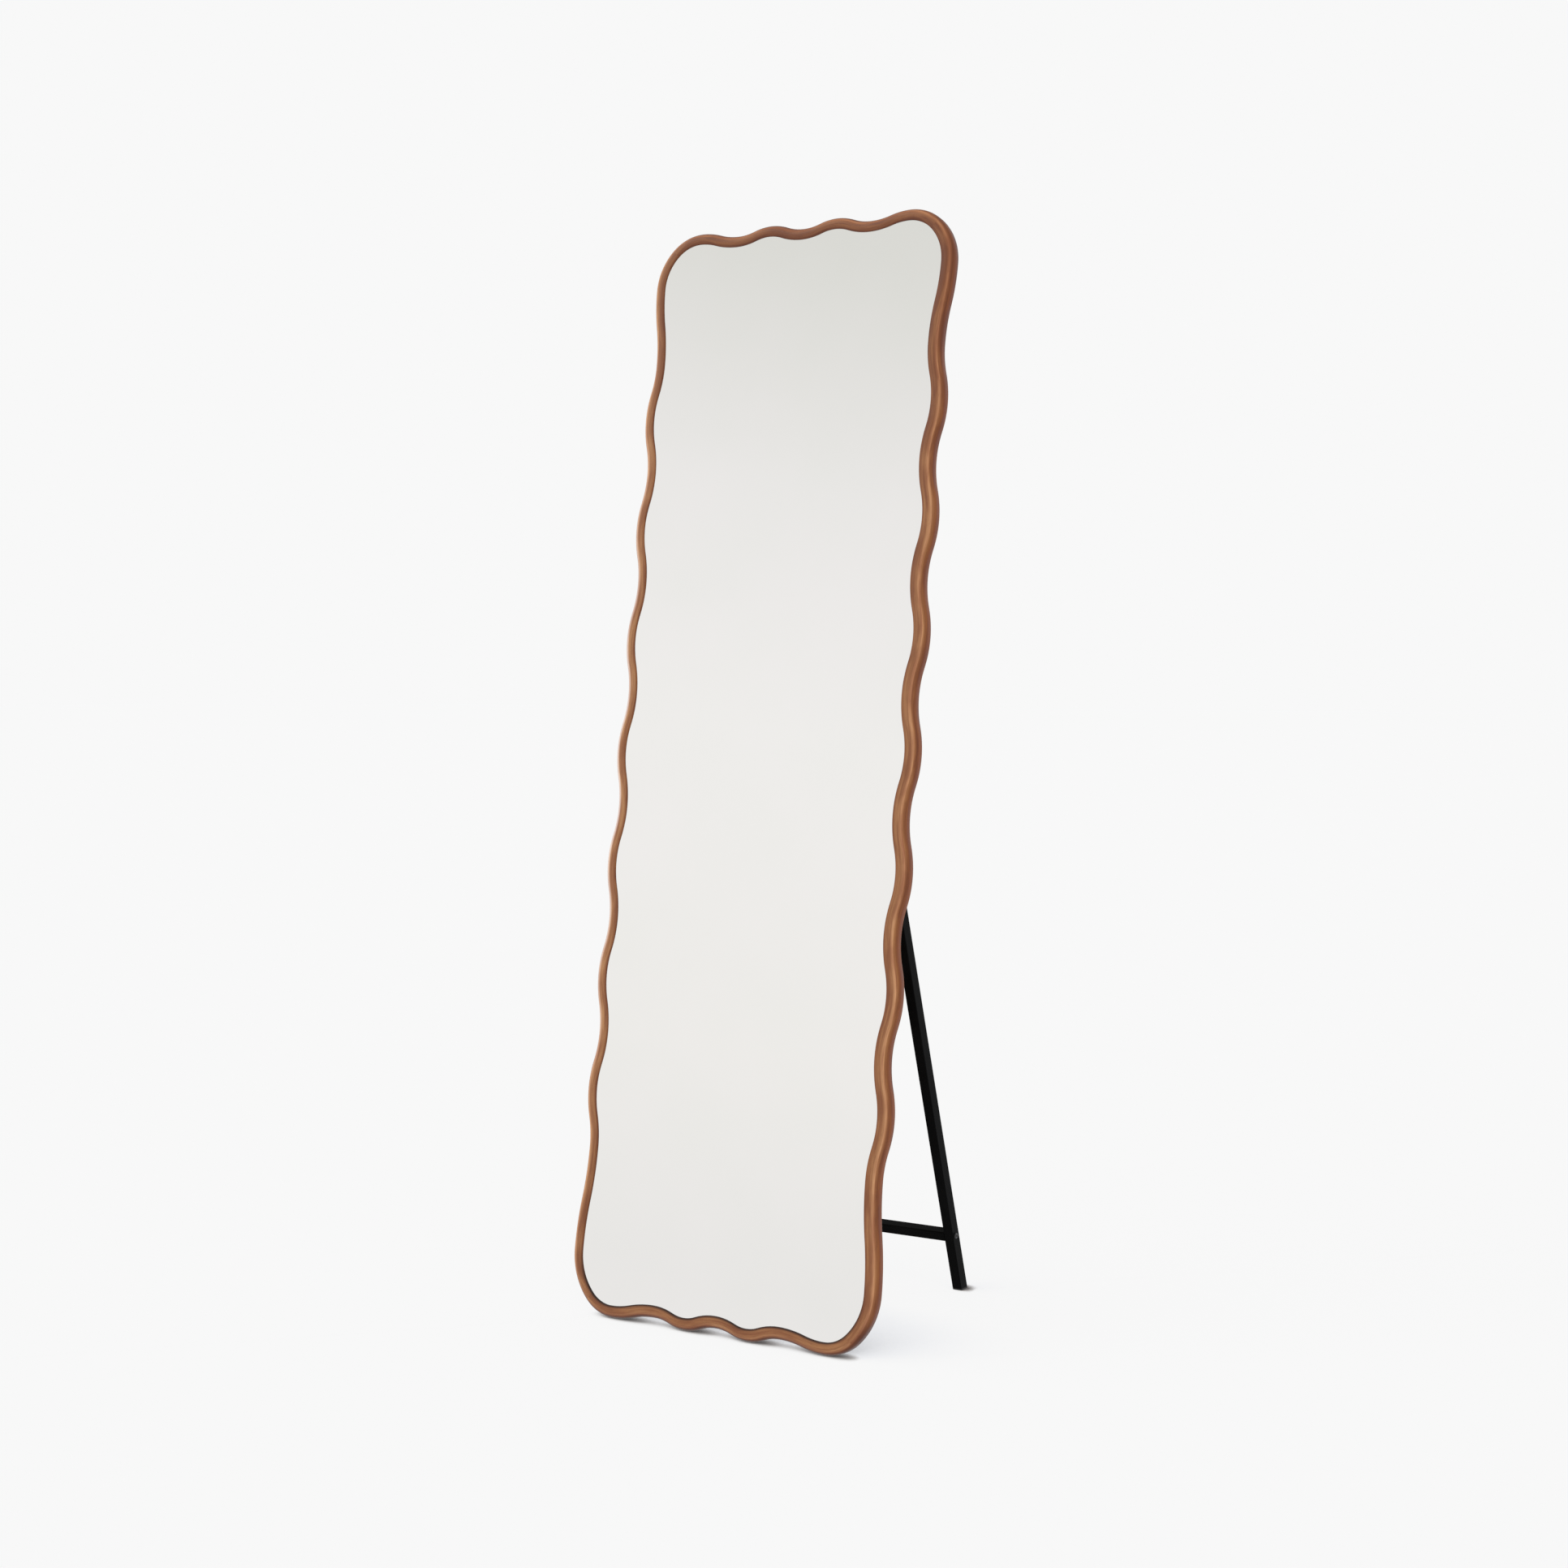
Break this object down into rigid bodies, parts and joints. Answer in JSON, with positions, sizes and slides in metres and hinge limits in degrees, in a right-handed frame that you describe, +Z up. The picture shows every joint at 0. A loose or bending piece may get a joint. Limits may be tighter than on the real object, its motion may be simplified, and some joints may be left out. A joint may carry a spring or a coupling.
{
  "type": "floor mirror",
  "caption": "Tall leaning floor mirror in a narrow wavy-edged wooden frame with rounded corners, on a folding H-shaped stand of black steel tube.",
  "frame": {"origin": "on the floor, in the middle of the rectangle that the open mirror and its stand cover", "axes": "+Z up, the mirror faces -Y and its top leans towards +Y, +X to the viewer's right"},
  "size_m": [0.5, 0.4156, 1.5821],
  "materials": {
    "frame_wood": "reddish walnut stain, satin lacquer",
    "dowel_wood": "plain beech",
    "mirror": "silvered float glass",
    "foam": "self-adhesive foam",
    "board": "plain fibreboard",
    "zinc": "zinc plated",
    "black_steel": "satin black powder coat",
    "black_plastic": "matte",
    "black_rubber": "matte",
    "nylon": "satin"
  },
  "bodies": {
    "mirror": {"left_stile": "frame_wood", "right_stile": "frame_wood", "top_rail": "frame_wood", "bottom_rail": "frame_wood", "corner_dowels": "dowel_wood", "mirror_glass": "mirror", "foam_pads": "foam", "backing_board": "board", "board_screws": "zinc", "left_hinge_bracket": "black_steel", "right_hinge_bracket": "black_steel", "bracket_screws": "zinc", "left_pivot_bolt": "zinc", "right_pivot_bolt": "zinc", "pivot_nuts": "zinc"},
    "stand": {"left_leg": "black_steel", "right_leg": "black_steel", "left_leg_cap": "black_plastic", "right_leg_cap": "black_plastic", "left_foot": "black_rubber", "right_foot": "black_rubber", "pivot_bushes": "nylon", "crossbar": "black_steel", "crossbar_inserts": "zinc", "crossbar_screws": "zinc"}
  },
  "joints": [
    {"name": "stand_hinge", "type": "hinge", "parent": "mirror", "child": "stand", "pos_m": [0, -0.05831, 0.7556], "axis": [-1, 0, 0], "range_deg": [0, 27.6]}
  ]
}
